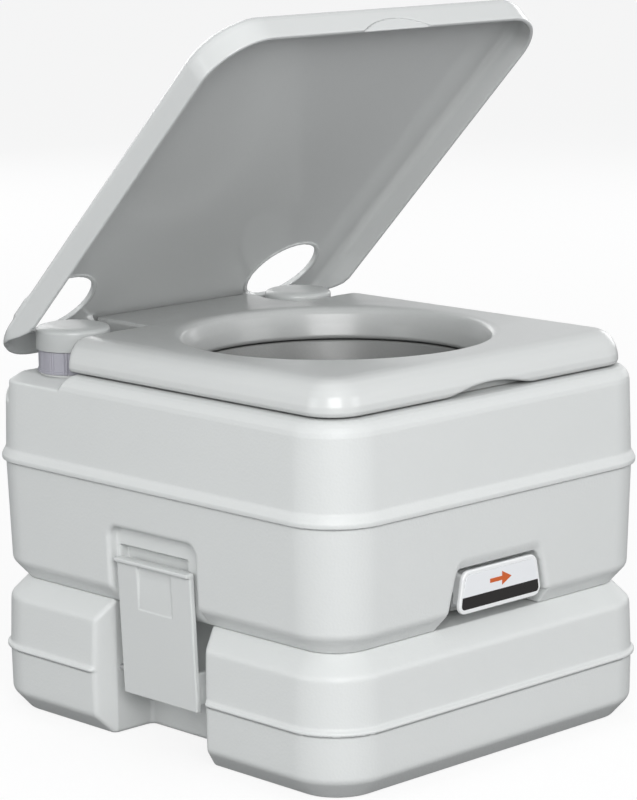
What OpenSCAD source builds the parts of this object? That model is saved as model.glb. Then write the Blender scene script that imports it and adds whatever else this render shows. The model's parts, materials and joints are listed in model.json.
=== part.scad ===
// Portable flush toilet in two stacked tanks: a fresh-water tank with bowl,
// pump, seat and lid, latched on top of a waste tank with a slide valve.
// Frame: origin at the centre of the footprint on the ground, front faces -Y,
// +Z up. Millimetres. The lid is drawn standing open by lid_open degrees.

/* [Tanks] */
// Overall width across the parting rims
body_w = 365; // [355:1:380]
// Overall depth across the parting rims
body_d = 415; // [405:1:430]
// Plan corner radius of the parting rims
rim_r = 49; // [44:1:56]
// Wall thickness of both blow-moulded tanks
wall = 3; // [2.5:0.5:3.5]
// Height of the waste tank, which is also the joint between the tanks
joint_z = 110; // [109:0.5:111]
// Height of the waste tank's parting bead
low_bead_z = 53.9; // [50:0.5:58]
// Height of the flush tank's parting bead
up_bead_z = 210.6; // [205:0.5:215]
// Height of the platform under the seat
deck_z = 286; // [285.5:0.5:286]

/* [Bowl] */
// Centre of the bowl along the depth
bowl_y = -25; // [-28:1:-22]
// Radius of the bowl's outlet and of the slide valve's port
port_r = 42; // [38:1:42]

/* [Seat and lid] */
// Half width of the seat
seat_hw = 167; // [165:0.5:168]
// Front edge of the seat
seat_front = -192; // [-194:1:-188]
// Height of the seat's upper face
seat_top = 314.5; // [313:0.5:314.5]
// Radius of the seat's opening at its upper edge
seat_open_r = 126; // [122:1:130]
// Angle at which the lid stands open as drawn
lid_open = 45; // [44:1:60]
// Half width of the lid
lid_hw = 176.5; // [175:0.5:178]
// Thickness of the lid's sheet
lid_t = 3.5; // [3:0.25:3.5]
// Depth of the lid's skirt below its upper face
skirt = 25.5; // [22:0.5:28]

/* [Caps] */
// Radius of the pump button
button_r = 29.8; // [29.6:0.1:30.2]
// Position of the flush pump
pump_x = -137; // [-139:1:-136]
// Position of the fresh-water filler
fill_x = 112; // [108:1:114]
// Number of grip grooves round a collar
grips = 30; // [20:1:36]

/* [Side latches] */
// Half width of a latch plate
latch_hw = 43; // [40:1:44]
// Height of a latch's top edge
latch_top = 150.3; // [149:0.1:150.5]
// Centre of the channel behind a latch
channel_y = 4; // [2:1:5]

/* [Slide valve] */
// Thickness of the sliding blade
blade_t = 3; // [2.6:0.1:3.2]
// Half width of the sliding blade
blade_hw = 48; // [47:0.5:48]

/* [Hidden] */
clearance = 0.05;  // radial, between parts that turn or slide
half_w = body_w/2;
half_d = body_d/2;
rear_z = 280;      // lower platform behind the seat
cap_y = 136.5;     // pump and filler
hinge_y = 167.7;
hinge_z = 300;
pin_r = 3;
$fn = 64;

tank_grey = [0.80, 0.81, 0.80];
cap_grey = [0.62, 0.62, 0.70];
button_grey = [0.88, 0.88, 0.89];
latch_grey = [0.78, 0.79, 0.79];
seat_white = [0.90, 0.90, 0.90];
fitting_white = [0.85, 0.85, 0.83];
rubber = [0.12, 0.12, 0.13];
metal = "silver";

// ---------- shared shapes ----------

corner_steps = 7;

// One rounded-rectangle ring of points at height z
function ring(half_x, half_y, radius, z) = [for (c = [0:3])
  let (corner_x = [1, -1, -1, 1][c]*(half_x - radius),
       corner_y = [1, 1, -1, -1][c]*(half_y - radius))
  for (k = [0:corner_steps])
    let (angle = c*90 + k*90/corner_steps)
    [corner_x + radius*cos(angle), corner_y + radius*sin(angle), z]];

// Solid through rings given as [height, inset from the largest outline]
module loft(levels, half_x, half_y, radius) {
  count = 4*(corner_steps + 1);
  last = len(levels) - 1;
  polyhedron(
    points = [for (level = levels) let (z = level[0], inset = level[1])
      each ring(half_x - inset, half_y - inset, max(radius - inset, 4), z)],
    faces = concat(
      [[for (i = [0:count-1]) i]],
      [[for (i = [count-1:-1:0]) last*count + i]],
      [for (j = [0:last-1], i = [0:count-1])
        [j*count + i, (j+1)*count + i, (j+1)*count + (i+1)%count, j*count + (i+1)%count]]));
}
module tank_loft(levels) loft(levels, half_w, half_d, rim_r);

// Rod along X, Y or Z between two coordinates
module rod_x(radius, start, end, y, z)
  translate([start, y, z]) rotate([0, 90, 0]) cylinder(r = radius, h = end - start);
module rod_y(radius, start, end, x, z)
  translate([x, start, z]) rotate([-90, 0, 0]) cylinder(r = radius, h = end - start);
module rod_z(radius, start, end, x, y)
  translate([x, y, start]) cylinder(r = radius, h = end - start);

module box(x_min, x_max, y_min, y_max, z_min, z_max)
  translate([x_min, y_min, z_min]) cube([x_max - x_min, y_max - y_min, z_max - z_min]);

// Outline in (y, z) extruded towards +X
module extrude_x(start, length)
  translate([start, 0, 0]) rotate([90, 0, 90]) linear_extrude(length) children();
// Outline in (x, z) extruded towards -Y
module extrude_y(start, length)
  translate([0, start, 0]) rotate([90, 0, 0]) linear_extrude(length) children();

module both() {
  children();
  mirror([1, 0, 0]) children();
}

// ---------- waste tank ----------
// Cutting shapes take grow, the distance they swell to leave a wall around them

pivot_x = 158;  // latch pivots, on both sides
pivot_z = 54;
latch_pin_r = 2.5;
latch_pin_half = 59.4;

spout_x = -75;
spout_z = 58;
spout_r = 24;
spout_end = 190;
spout_recess_r = 36;
spout_recess_y = 162;

foot_inset = 17;
joint_inset = 19.4;
low_inset = 3.4;  // lower side wall of the waste tank
high_inset = 4.1; // its shoulder

// Outer and inner faces of the waste tank: [height, inset]
waste_outer = [[0, foot_inset], [4, 12.5], [15.2, low_inset],
  [low_bead_z - 2.9, 2.6], [low_bead_z - 2, 0.2], [low_bead_z + 1, 0], [low_bead_z + 2, 2.6],
  [94.7, high_inset], [joint_z, joint_inset]];
waste_inner = [[wall, foot_inset + wall], [16, low_inset + wall],
  [94, high_inset + wall], [joint_z - wall, joint_inset + wall]];

// Vertical channel behind the left latch
module channel(grow = 0) translate([0, 0, -2]) linear_extrude(joint_z + 4) polygon([
  [-127 + grow, channel_y - 57 - grow], [-127 + grow, channel_y + 57 + grow],
  [-163, channel_y + 57 + grow], [-199, channel_y + 76 + grow],
  [-199, channel_y - 76 - grow], [-163, channel_y - 57 - grow]]);

module spout_recess(grow = 0)
  rod_y(spout_recess_r + grow, spout_recess_y - grow, 215, spout_x, spout_z);

module latch_pin(half_length)
  rod_y(latch_pin_r, channel_y - half_length, channel_y + half_length, -pivot_x, pivot_z);

module waste_tank_shell() color(tank_grey) difference() {
  union() {
    difference() {
      tank_loft(waste_outer);
      both() channel();
      spout_recess();
      difference() {
        tank_loft(waste_inner);
        both() channel(wall);
        spout_recess(wall);
      }
    }
    rod_y(spout_r, 161, spout_end, spout_x, spout_z);
  }
  rod_z(port_r + 4, joint_z - 5, joint_z + 2, 0, bowl_y);
  rod_y(20, 155, 192, spout_x, spout_z);
  both() latch_pin(latch_pin_half + 0.1);
  for (x = valve_screw_x, y = valve_screw_y)
    rod_z(valve_screw_r, joint_z - 6, joint_z + 1, x, y);
}

// ---------- slide valve ----------

housing_top = joint_z + 11;
seal_z = joint_z + 1.8;   // floor of the lip seal's groove
seal_r = port_r + 5;
blade_z = joint_z + 4;
valve_screw_x = [-53, 53];
valve_screw_y = [-80, 36];
valve_screw_r = 1.9;

arm_hw = 19;              // stem of the blade and arm of the handle
face_y = -198;            // back of the handle's face plate
face_t = 3.6;
return_y = face_y - 0.4;  // front of the parts behind the face, sunk into it
grip_top = 151;
handle_screw_x = [-10, 10];
handle_screw_y = -156;
handle_screw_r = 2;

// Guide frame of the slide valve, screwed to the top of the waste tank
module valve_housing() color([0.55, 0.55, 0.58]) difference() {
  box(-58, 58, -90, 43, joint_z, housing_top);
  box(-blade_hw - 0.4, blade_hw + 0.4, -92, 27.6, blade_z - 0.2, blade_z + blade_t + 0.2);
  rod_z(port_r, joint_z - 1, housing_top + 1, 0, bowl_y);
  rod_z(seal_r, seal_z, blade_z, 0, bowl_y);
  for (x = valve_screw_x, y = valve_screw_y) {
    rod_z(2, joint_z - 1, housing_top + 1, x, y);
    rod_z(4.2, joint_z + 8, housing_top + 1, x, y);
  }
}

// Rubber ring that wipes the underside of the blade
module valve_lip_seal() color(rubber) translate([0, bowl_y, 0]) rotate_extrude() polygon([
  [port_r + 0.5, seal_z], [seal_r, seal_z], [seal_r, joint_z + 3.6],
  [port_r + 2.6, blade_z - 0.06], [port_r + 1.6, blade_z - 0.06], [port_r + 0.5, joint_z + 3]]);

// Slotted screws
module valve_screws() color(metal) for (x = valve_screw_x, y = valve_screw_y) difference() {
  union() {
    rod_z(valve_screw_r, joint_z - 6, joint_z + 8, x, y);
    rod_z(4, joint_z + 8, joint_z + 10.6, x, y);
  }
  box(x - 3, x + 3, y - 0.5, y + 0.5, joint_z + 9.6, joint_z + 12);
}

module valve_blade() color(fitting_white) difference() {
  union() {
    box(-blade_hw, blade_hw, -89, 27, blade_z, blade_z + blade_t);
    box(-arm_hw, arm_hw, -167, -88, blade_z, blade_z + blade_t);
  }
  for (x = handle_screw_x) rod_z(handle_screw_r, blade_z - 1, blade_z + 5, x, handle_screw_y);
}

// Pull handle of the valve: face plate, finger return and arm
module valve_handle() color([0.94, 0.94, 0.94]) difference() {
  union() {
    extrude_y(face_y, face_t) offset(r = 5, $fn = 32)
      polygon([[-41.5, 126.5], [41.5, 126.5], [36, 149.8], [-36, 149.8]]);
    box(-36, 36, return_y, -185, 148, grip_top);
    for (x = [-36, 33]) box(x, x + 3, return_y, -185, 126, grip_top);
    // arm: forward, down and back over the blade's stem
    box(-arm_hw, arm_hw, return_y, -164, 124.5, 128);
    box(-arm_hw, arm_hw, -168, -164, blade_z + blade_t, 128);
    box(-arm_hw, arm_hw, -168, -148, blade_z + blade_t, blade_z + blade_t + 3.4);
  }
  for (x = handle_screw_x) rod_z(handle_screw_r, blade_z, blade_z + 9, x, handle_screw_y);
}

// Plain band and arrow on the front of the handle
module handle_badge() color([0.15, 0.15, 0.16]) extrude_y(face_y - face_t, 0.6) {
  polygon([[-43.6, 125], [43.6, 125], [42.2, 134.5], [-42.2, 134.5]]);
  polygon([[-12, 141.2], [1.5, 141.2], [1.5, 137.4], [12, 142.8], [1.5, 148.2],
    [1.5, 144.4], [-12, 144.4]]);
}

module handle_screws() color(metal) for (x = handle_screw_x) {
  rod_z(handle_screw_r, blade_z - 1, blade_z + 6.4, x, handle_screw_y);
  rod_z(3.6, blade_z + 6.4, blade_z + 8.4, x, handle_screw_y);
}

// ---------- drain cap ----------

cap_seat = 191;  // inner face of the cap's end

// Screw cap of the emptying spout
module drain_cap() color(cap_grey) difference() {
  union() {
    rod_y(29, 171, 194, spout_x, spout_z);
    rod_y(26.5, 194, 196, spout_x, spout_z);
    box(spout_x - 3, spout_x + 3, 190, 200, spout_z - 24, spout_z + 24);
  }
  rod_y(spout_r + clearance, 170, cap_seat, spout_x, spout_z);
  for (angle = [0:20:340])
    rod_y(1.8, 169, 192, spout_x + 29.8*cos(angle), spout_z + 29.8*sin(angle));
}

module drain_cap_gasket() color(rubber) difference() {
  rod_y(spout_r, spout_end + 0.05, cap_seat, spout_x, spout_z);
  rod_y(19, 189, 192, spout_x, spout_z);
}

// ---------- side latches ----------

lug_t = 5;

// Side latch, drawn for the left side
module latch() difference() {
  union() {
    extrude_y(latch_hw, 2*latch_hw) polygon([
      [-176, latch_top], [-171.5, latch_top], [-166.3, 39.5], [-170.8, 39.5]]);
    // lip along the top edge, and a ledge on the inner face
    box(-179, -175, -latch_hw, latch_hw, latch_top - 3.6, latch_top);
    box(-172, -163, -29.5, latch_hw, 143, 148);
    // pivot lugs
    for (lug_y = [-latch_hw, latch_hw - lug_t]) {
      box(-169.5, -pivot_x, lug_y, lug_y + lug_t, 46, 66);
      rod_y(7, lug_y, lug_y + lug_t, -pivot_x, pivot_z);
      extrude_y(lug_y + lug_t, lug_t) polygon([[-170, 65], [-158, 65], [-170, 80]]);
    }
  }
  // shallow recess in the outer face
  box(-180, -174.6, -19, 19, 122, 144.5);
  rod_y(latch_pin_r + clearance, -60, 70, -pivot_x, pivot_z);
}
module latch_left() color(latch_grey) latch();
module latch_right() color(latch_grey) mirror([1, 0, 0]) latch();
module latch_pins() color(metal) both() latch_pin(latch_pin_half);

// ---------- flush tank ----------

cut_z = 108;        // cuts through the tank's floor start here
pocket_x = -168.5;  // inner wall of the latch pocket
pocket_r = 8;       // its upper corners, centred at +-pocket_y, pocket_z
pocket_y = 42;
pocket_z = 165.8;
bay_top = 157.5;    // opening for the valve handle
slot_top = 123.5;   // flat space over the slide valve

barrel_r = 24;      // pump
neck_r = 25;        // filler
nozzle_x = -40;
nozzle_z = 262;
nozzle_r = 5;
bracket_screw_x = [-12, 12];
bracket_screw_y = [155, 169];
bracket_screw_r = 1.9;

// Outer and inner faces of the flush tank: [height, inset]
flush_outer = [[joint_z, joint_inset], [124.3, 6.4], [up_bead_z - 4.4, 3.2],
  [up_bead_z - 3.2, 0.3], [up_bead_z, 0], [up_bead_z + 3.2, 0.3], [up_bead_z + 4.4, 3.2],
  [273, 5.4], [279, 7.6], [283, 11], [deck_z, 17]];
flush_inner = [[joint_z + wall, joint_inset + wall], [125.5, 6.4 + wall], [206, 3.4 + wall],
  [272, 5.4 + wall], [279, 9 + wall], [deck_z - wall, 15 + wall]];

// Pocket in the flush tank that takes the top of the left latch
module latch_pocket(grow = 0) {
  radius = pocket_r + grow;
  box(-200, pocket_x + grow, -pocket_y - radius, pocket_y + radius, cut_z, pocket_z);
  box(-200, pocket_x + grow, -pocket_y, pocket_y, 165, pocket_z + radius);
  for (side = [-1, 1]) rod_x(radius, -200, pocket_x + grow, side*pocket_y, pocket_z);
  // deeper slot for the latch's ledge
  box(-200, -160 + grow, -32 - grow, 47 + grow, 141.5 - grow, 158 + grow);
}

// Solid space round the bowl, closed to the axis
module well(grow, top) translate([0, bowl_y, 0]) rotate_extrude($fn = 96) polygon([
  [0, cut_z], [50 + grow, cut_z], [50 + grow, 131], [54 + grow, 138 - grow/3],
  [70 + grow, 155 - grow/2], [95.5 + grow, 193 - grow/3], [111.5 + grow, 231],
  [119 + grow, 267.5], [121.5 + grow, 283.4 - grow], [134.6 + grow, 283.4 - grow],
  [134.6 + grow, top], [0, top]]);

// Everything above the lower platform at the rear, which slopes off sideways
module rear_cut(grow = 0) {
  extrude_x(-200, 400) polygon([
    [104.5 - grow, rear_z - grow], [220, rear_z - grow], [220, 300], [91.5 - grow, 300]]);
  both() extrude_y(220, 113 + grow) polygon([
    [-160 + grow, rear_z - grow], [-200, rear_z - 14 - grow], [-200, 300],
    [-160 + grow, 300]]);
}

// Hollow in the rear, rounded about the hinge line
module hinge_hollow(grow = 0) intersection() {
  rod_x(44 + grow, -200, 200, hinge_y, hinge_z);
  box(-201, 201, 174.5 - grow, 230, 200, 350);
}

// Opening in the front of the flush tank for the valve handle
module handle_bay(grow = 0) {
  extrude_y(-160 + grow, 60) polygon([
    [-57 - grow, cut_z], [-57 - grow, 114], [-54 - grow, 128], [-47 - grow, 156],
    [-44 - grow/2, bay_top + grow], [43 + grow/2, bay_top + grow],
    [46 + grow, 156], [53 + grow, 128], [56.5 + grow, 114], [56.5 + grow, cut_z]]);
  // its roof rises to the front
  extrude_x(-44, 87) polygon([
    [-199 + grow/2, bay_top], [-199 + grow/2, bay_top + grow], [-204.5, 166 + grow],
    [-215, 166 + grow], [-215, bay_top]]);
  box(-60.5 - grow, 60.5 + grow, -100 - grow, 45 + grow, cut_z, slot_top + grow);
  box(-57 - grow, 56.5 + grow, -215, -99, cut_z, slot_top + grow);
}

module flush_tank_shell() color(tank_grey) difference() {
  tank_loft(flush_outer);
  both() latch_pocket();
  handle_bay();
  well(0, 290);
  rear_cut();
  hinge_hollow();
  difference() {
    tank_loft(flush_inner);
    both() latch_pocket(wall);
    handle_bay(wall);
    well(wall, 292);
    rear_cut(wall);
    hinge_hollow(wall);
  }
  rod_z(barrel_r + clearance, rear_z - 8, rear_z + 4, pump_x, cap_y);
  rod_z(neck_r + clearance, rear_z - 8, rear_z + 4, fill_x, cap_y);
  rod_y(nozzle_r + clearance, 70, 96, nozzle_x, nozzle_z);
  for (x = bracket_screw_x, y = bracket_screw_y)
    rod_z(bracket_screw_r, rear_z - 8, rear_z + 1, x, y);
}

// ---------- bowl and rinse ----------

outlet_z = 123.5;  // lower end of the bowl
outlet_r = 44.5;   // outside of the outlet

// Section of the bowl, [radius, height]: up the outside, then down the inside
bowl_section = [
  [outlet_r, outlet_z], [outlet_r, 132], [50, 140], [66, 156], [92, 194], [108, 232],
  [115.5, 268], [118.5, 283.5], [134, 283.5], [134, 286.6],
  [117, 286.6], [115, 282], [112.8, 268], [105.3, 233], [89.4, 195.3], [63.5, 157.6],
  [47.5, 141.5], [port_r, 133], [port_r, outlet_z]];

hose_start = -112;
hose_end = 98;
bend_r = 20;
bend_x = nozzle_x - bend_r;
bend_y = cap_y - bend_r;
hose_r = 7;

// Bowl that hangs in the flush tank and ends at the slide valve
module bowl() color(seat_white) difference() {
  translate([0, bowl_y, 0]) rotate_extrude($fn = 96) polygon(bowl_section);
  rod_y(nozzle_r + clearance, 60, 96, nozzle_x, nozzle_z);
}

module bowl_outlet_seal() color(rubber) translate([0, bowl_y, 0]) rotate_extrude() polygon([
  [port_r + 0.2, housing_top], [49.4, housing_top], [49.4, 128], [outlet_r, 128],
  [outlet_r, outlet_z], [port_r + 0.2, outlet_z]]);

// Spray nozzle through the rear of the bowl
module rinse_nozzle() color(fitting_white) difference() {
  union() {
    rod_y(nozzle_r, 70, 114, nozzle_x, nozzle_z);
    rod_y(7, 68, 74, nozzle_x, nozzle_z);
    rod_y(9, 92.6, 94.6, nozzle_x, nozzle_z);
  }
  rod_y(3.3, 70, 116, nozzle_x, nozzle_z);
  box(nozzle_x - 5.5, nozzle_x + 5.5, 66, 71.5, nozzle_z - 1.2, nozzle_z + 1.2);
}

// Path from the pump to the nozzle: straight, quarter bend, straight
module hose_path(radius, extra = 0) {
  rod_x(radius, hose_start - extra, bend_x, cap_y, nozzle_z);
  translate([bend_x, bend_y, nozzle_z])
    rotate_extrude(angle = 90) translate([bend_r, 0]) circle(r = radius);
  rod_y(radius, hose_end - extra, bend_y, nozzle_x, nozzle_z);
}
module delivery_hose() color([0.75, 0.78, 0.80]) difference() {
  hose_path(hose_r);
  hose_path(5, extra = 1);
}

module hose_clips() color(metal) {
  difference() {
    rod_x(8.4, -109, -104, cap_y, nozzle_z);
    rod_x(hose_r, -110, -103, cap_y, nozzle_z);
  }
  difference() {
    rod_y(8.4, 101, 106, nozzle_x, nozzle_z);
    rod_y(hose_r, 100, 107, nozzle_x, nozzle_z);
  }
}

// ---------- flush pump ----------

flange_r = 27;      // of pump and filler
flange_top = rear_z + 2;
barrel_bore = 21.5;
chamber_z = 268;    // floor of the bellows' chamber
barrel_top = 297;
collar_r = 28.9;
collar_top = 300;   // of pump and filler
cap_roof = 317;     // underside of the button's and the cover's tops
tube_r = 5;

// Domed middle of the button and the cover, [radius, height]
crown = [[14, 319.3], [0, 319.6], [0, cap_roof]];

module pump_body() color([0.82, 0.82, 0.80]) difference() {
  union() {
    rod_z(barrel_r, 214, barrel_top, pump_x, cap_y);
    rod_z(flange_r, rear_z, flange_top, pump_x, cap_y);
    rod_x(5, pump_x + 20, -102, cap_y, nozzle_z);
    rod_z(3.4, 204, 216, pump_x, cap_y);
  }
  rod_z(barrel_bore, 217, 265.8, pump_x, cap_y);
  rod_z(10.5, 265, 269, pump_x, cap_y);
  rod_z(barrel_bore, chamber_z, 298, pump_x, cap_y);
  rod_z(2.2, 203, 218, pump_x, cap_y);
  rod_x(3.5, pump_x, -101, cap_y, nozzle_z);
}

// Ring nut with vertical grip grooves, closed above barrel_top
module grip_collar(radius, bore, bottom, x) difference() {
  rod_z(radius, bottom, collar_top, x, cap_y);
  rod_z(bore, rear_z, barrel_top, x, cap_y);
  for (k = [0:grips-1]) let (angle = k*360/grips) rod_z(0.9, rear_z + 5, collar_top + 1,
    x + (radius + 0.3)*cos(angle), cap_y + (radius + 0.3)*sin(angle));
}

// Ring nut round the pump's head
module pump_collar() color(cap_grey) difference() {
  grip_collar(collar_r, barrel_r + clearance, flange_top, pump_x);
  rod_z(barrel_bore, 296, collar_top + 1, pump_x, cap_y);
}

// Corner k of the bellows' zigzag, [radius, height]
function fold(k, inset) = [(k % 2 == 0 ? 19 : 14) - inset, chamber_z + 3*k];

// Folded rubber bellows under the button
module pump_bellows() color([0.14, 0.14, 0.15]) translate([pump_x, cap_y, 0])
  rotate_extrude() polygon(concat(
    [for (k = [0:15]) fold(k, 0)],
    [[17, cap_roof], [15, cap_roof]],
    [for (k = [15:-1:0]) fold(k, 2)]));

// Push button that telescopes over the collar, with its stem and foot
module pump_button() color(button_grey) translate([pump_x, cap_y, 0]) {
  inner_r = collar_r + clearance;
  rotate_extrude() polygon([
    [inner_r, 300.2], [button_r, 300.2], [button_r, 315.2], [29, 316.8], [26.8, 318.1],
    each crown, [26, cap_roof], [inner_r, 315]]);
  rod_z(4, 262, 318, 0, 0);
  rod_z(9, 260, 262, 0, 0);
}

module pump_valve_discs() color(rubber) {
  rod_z(7, 217, 218.4, pump_x, cap_y);
  rod_x(3.4, -110, -108.8, cap_y, nozzle_z);
}

module pickup_tube() color([0.80, 0.82, 0.84]) difference() {
  rod_z(tube_r, 126, 213.8, pump_x, cap_y);
  rod_z(3.4, 125, 215, pump_x, cap_y);
}

// Slotted cage round the lower end of the pickup tube
module pickup_strainer() color(fitting_white) difference() {
  rod_z(9, 116, 130, pump_x, cap_y);
  rod_z(7.4, 117.5, 128.4, pump_x, cap_y);
  rod_z(tube_r, 127, 131, pump_x, cap_y);
  for (angle = [0:45:135]) translate([pump_x, cap_y, 118.5]) rotate([0, 0, angle])
    translate([-10, -1, 0]) cube([20, 2, 8]);
}

// ---------- filler ----------

neck_bore = 21;
neck_top = 296;

module filler_neck() color(tank_grey) difference() {
  union() {
    rod_z(neck_r, 268, neck_top, fill_x, cap_y);
    rod_z(flange_r, rear_z, flange_top, fill_x, cap_y);
  }
  rod_z(neck_bore, 267, neck_top + 1, fill_x, cap_y);
}

module filler_cap_ring() color(cap_grey)
  grip_collar(27.8, neck_r + clearance, rear_z + 2.3, fill_x);

module filler_cap_cover() color(button_grey) translate([fill_x, cap_y, 0])
  rotate_extrude() polygon([
    [25.5, collar_top], [28.2, collar_top], [28.2, 315.2], [27.4, 316.8], [25.2, 318.1],
    each crown, [25.5, 315]]);

module filler_gasket() color(rubber) difference() {
  rod_z(24.6, neck_top + 0.05, barrel_top, fill_x, cap_y);
  rod_z(neck_bore, 295, 298, fill_x, cap_y);
}

// ---------- hinge ----------

bracket_top = rear_z + 3;  // upper face of the base plate

module hinge_bracket() color([0.72, 0.72, 0.74]) difference() {
  union() {
    box(-38, 38, 149, 174.4, rear_z, bracket_top);
    both() {
      box(20, 38, 160, 174.4, rear_z, hinge_z);
      rod_x(8, 20, 38, hinge_y, hinge_z);
    }
  }
  rod_x(pin_r, -50, 50, hinge_y, hinge_z);
  for (x = bracket_screw_x, y = bracket_screw_y) rod_z(2, rear_z - 1, rear_z + 4, x, y);
}
module hinge_pin() color(metal) rod_x(pin_r, -91, 91, hinge_y, hinge_z);
module hinge_screws() color(metal) for (x = bracket_screw_x, y = bracket_screw_y) {
  rod_z(bracket_screw_r, rear_z - 8, bracket_top, x, y);
  rod_z(3.8, bracket_top, rear_z + 5.4, x, y);
}

// ---------- seat ----------

seat_rear = 160;
seat_mid_y = (seat_front + seat_rear)/2;
seat_half_d = (seat_rear - seat_front)/2;
bumper_r = 5;
bumper_x = -128;  // and mirrored
bumper_y = [-148, 60];
bumper_top = 291;

// Outer face of the seat and its hollow underside: [height, inset]
seat_outer = [[287.4, 1.5], [289, 0.3], [291, 0], [297, 1], [302, 2.3],
  [307, 5.2], [311, 9.2], [313.4, 14], [seat_top, 20]];
seat_inner = [[286, 4], [297, 4.4], [302, 5.8], [307, 9], [seat_top - 3, 17]];

module seat_loft(levels)
  translate([0, seat_mid_y, 0]) loft(levels, seat_hw, seat_half_d, 30);

// Rod and block through the seat's whole height
module seat_rod(radius, x, y) rod_z(radius, 280, 320, x, y);
module seat_block(x_min, x_max, y_min, y_max) box(x_min, x_max, y_min, y_max, 280, 320);

module seat() color(seat_white) difference() {
  union() {
    difference() {
      seat_loft(seat_outer);
      // squared off in front of the caps
      seat_block(-200, 200, 110, 220);
      // hollow underside, less the opening's wall, rear, front block, ribs and bosses
      difference() {
        seat_loft(seat_inner);
        seat_rod(seat_open_r + 3, 0, bowl_y);
        seat_block(-seat_hw, seat_hw, 88, 200);
        seat_block(-50, 54, seat_front, seat_front + 16);
        for (angle = [20:40:340]) translate([0, bowl_y, 280]) rotate([0, 0, angle])
          translate([100, -1.25, 0]) cube([120, 2.5, 40]);
        both() for (y = bumper_y) seat_rod(7.5, bumper_x, y);
      }
    }
    // hollow tongue that reaches back between the caps
    difference() {
      box(-84, 84, 86, 172, 289.4, seat_top - 0.1);
      box(-80, 80, 106, 180, 288, 309);
    }
    // low stop behind the finger notch
    box(-42, 46, seat_front + 12, seat_front + 15.5, 286.5, 292);
    // hinge knuckles
    both() {
      box(62, 84, 150, 168, 291, 310);
      rod_x(9, 62, 84, hinge_y, hinge_z);
    }
  }
  // dished opening
  translate([0, bowl_y, 0]) rotate_extrude($fn = 96) polygon([
    [0, 280], [117.5, 280], [117.5, 292], [119, 302], [121.5, 309],
    [seat_open_r - 1, 313.4], [seat_open_r + 6, 316], [0, 316]]);
  // room for the pump and the filler
  seat_rod(32.5, pump_x, cap_y);
  seat_rod(31.4, fill_x, cap_y);
  // finger notch under the front edge
  rod_y(140, seat_front - 5, seat_front + 11.5, 2, 293.5 - 140);
  rod_x(pin_r + clearance, -90, 90, hinge_y, hinge_z);
  both() for (y = bumper_y) rod_z(bumper_r, 285, bumper_top, bumper_x, y);
}
module seat_bumpers() color([0.2, 0.2, 0.2])
  both() for (y = bumper_y) rod_z(bumper_r, deck_z + 0.05, bumper_top, bumper_x, y);

// ---------- lid ----------

lid_top = 319;
lid_rim = lid_top - skirt;
lid_front = -202;
lid_rear = 205;
lid_hole_r = 34;

// Outer and inner faces of the closed lid: [height, inset]
lid_outer = [[lid_rim, 0], [308, 0.5], [313, 2], [316.5, 5.5], [318.4, 10], [lid_top, 16]];
lid_inner = [[lid_rim - 1, lid_t - 0.2], [307, lid_t + 0.2], [312, lid_t + 3],
  [314.6, lid_t + 7], [lid_top - lid_t, lid_t + 12]];

module lid_loft(levels) translate([0, (lid_front + lid_rear)/2, 0])
  loft(levels, lid_hw, (lid_rear - lid_front)/2, 48);

module lid_closed() difference() {
  union() {
    difference() {
      lid_loft(lid_outer);
      lid_loft(lid_inner);
      // skirt sweeps up towards the rear edge
      extrude_x(-200, 400) polygon([
        [131, 288], [131, lid_rim], [140, lid_rim + 1.6], [152, lid_rim + 6],
        [166, lid_rim + 13.5], [178, lid_rim + 18.8], [186, lid_rim + 21],
        [230, lid_rim + 21], [230, 288]]);
      // finger recess in the outside of the front skirt
      rod_y(70, lid_front - 5, lid_front + 1.7, -1, lid_rim - 60);
    }
    // hinge ears
    both() {
      box(85.5, 91, 161, 174, hinge_z, lid_top - lid_t + 0.4);
      rod_x(8, 85.5, 91, hinge_y, hinge_z);
    }
  }
  // holes over the caps
  for (x = [pump_x - 1, fill_x]) rod_z(lid_hole_r, 312.5, 330, x, cap_y);
  both() rod_x(pin_r + clearance, 84, 93, hinge_y, hinge_z);
}

// Closed lid turned about the hinge line to the drawn angle
module lid() color([0.90, 0.90, 0.89])
  translate([0, hinge_y, hinge_z]) rotate([-lid_open, 0, 0])
    translate([0, -hinge_y, -hinge_z]) lid_closed();

waste_tank_shell();
valve_housing();
valve_lip_seal();
valve_screws();
valve_blade();
valve_handle();
handle_badge();
handle_screws();
drain_cap();
drain_cap_gasket();
latch_left();
latch_right();
latch_pins();
flush_tank_shell();
bowl();
bowl_outlet_seal();
rinse_nozzle();
delivery_hose();
hose_clips();
pump_body();
pump_collar();
pump_bellows();
pump_button();
pump_valve_discs();
pickup_tube();
pickup_strainer();
filler_neck();
filler_cap_ring();
filler_cap_cover();
filler_gasket();
hinge_bracket();
hinge_pin();
hinge_screws();
seat();
seat_bumpers();
lid();
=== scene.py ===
"""A portable flush toilet: waste tank below, flush tank with bowl above, seat, lid held open.

It stands on z = 0. The valve handle faces the front (-Y), the lid hinge runs along X at the
back (+Y) and the latches are on the two sides (+-X). Shapes are in millimetres and are scaled
to metres when a mesh is made; the stage, lights and camera are in metres.
"""
import json
import math

import bmesh
import bpy
import numpy as np
from mathutils import Matrix, Vector


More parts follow.
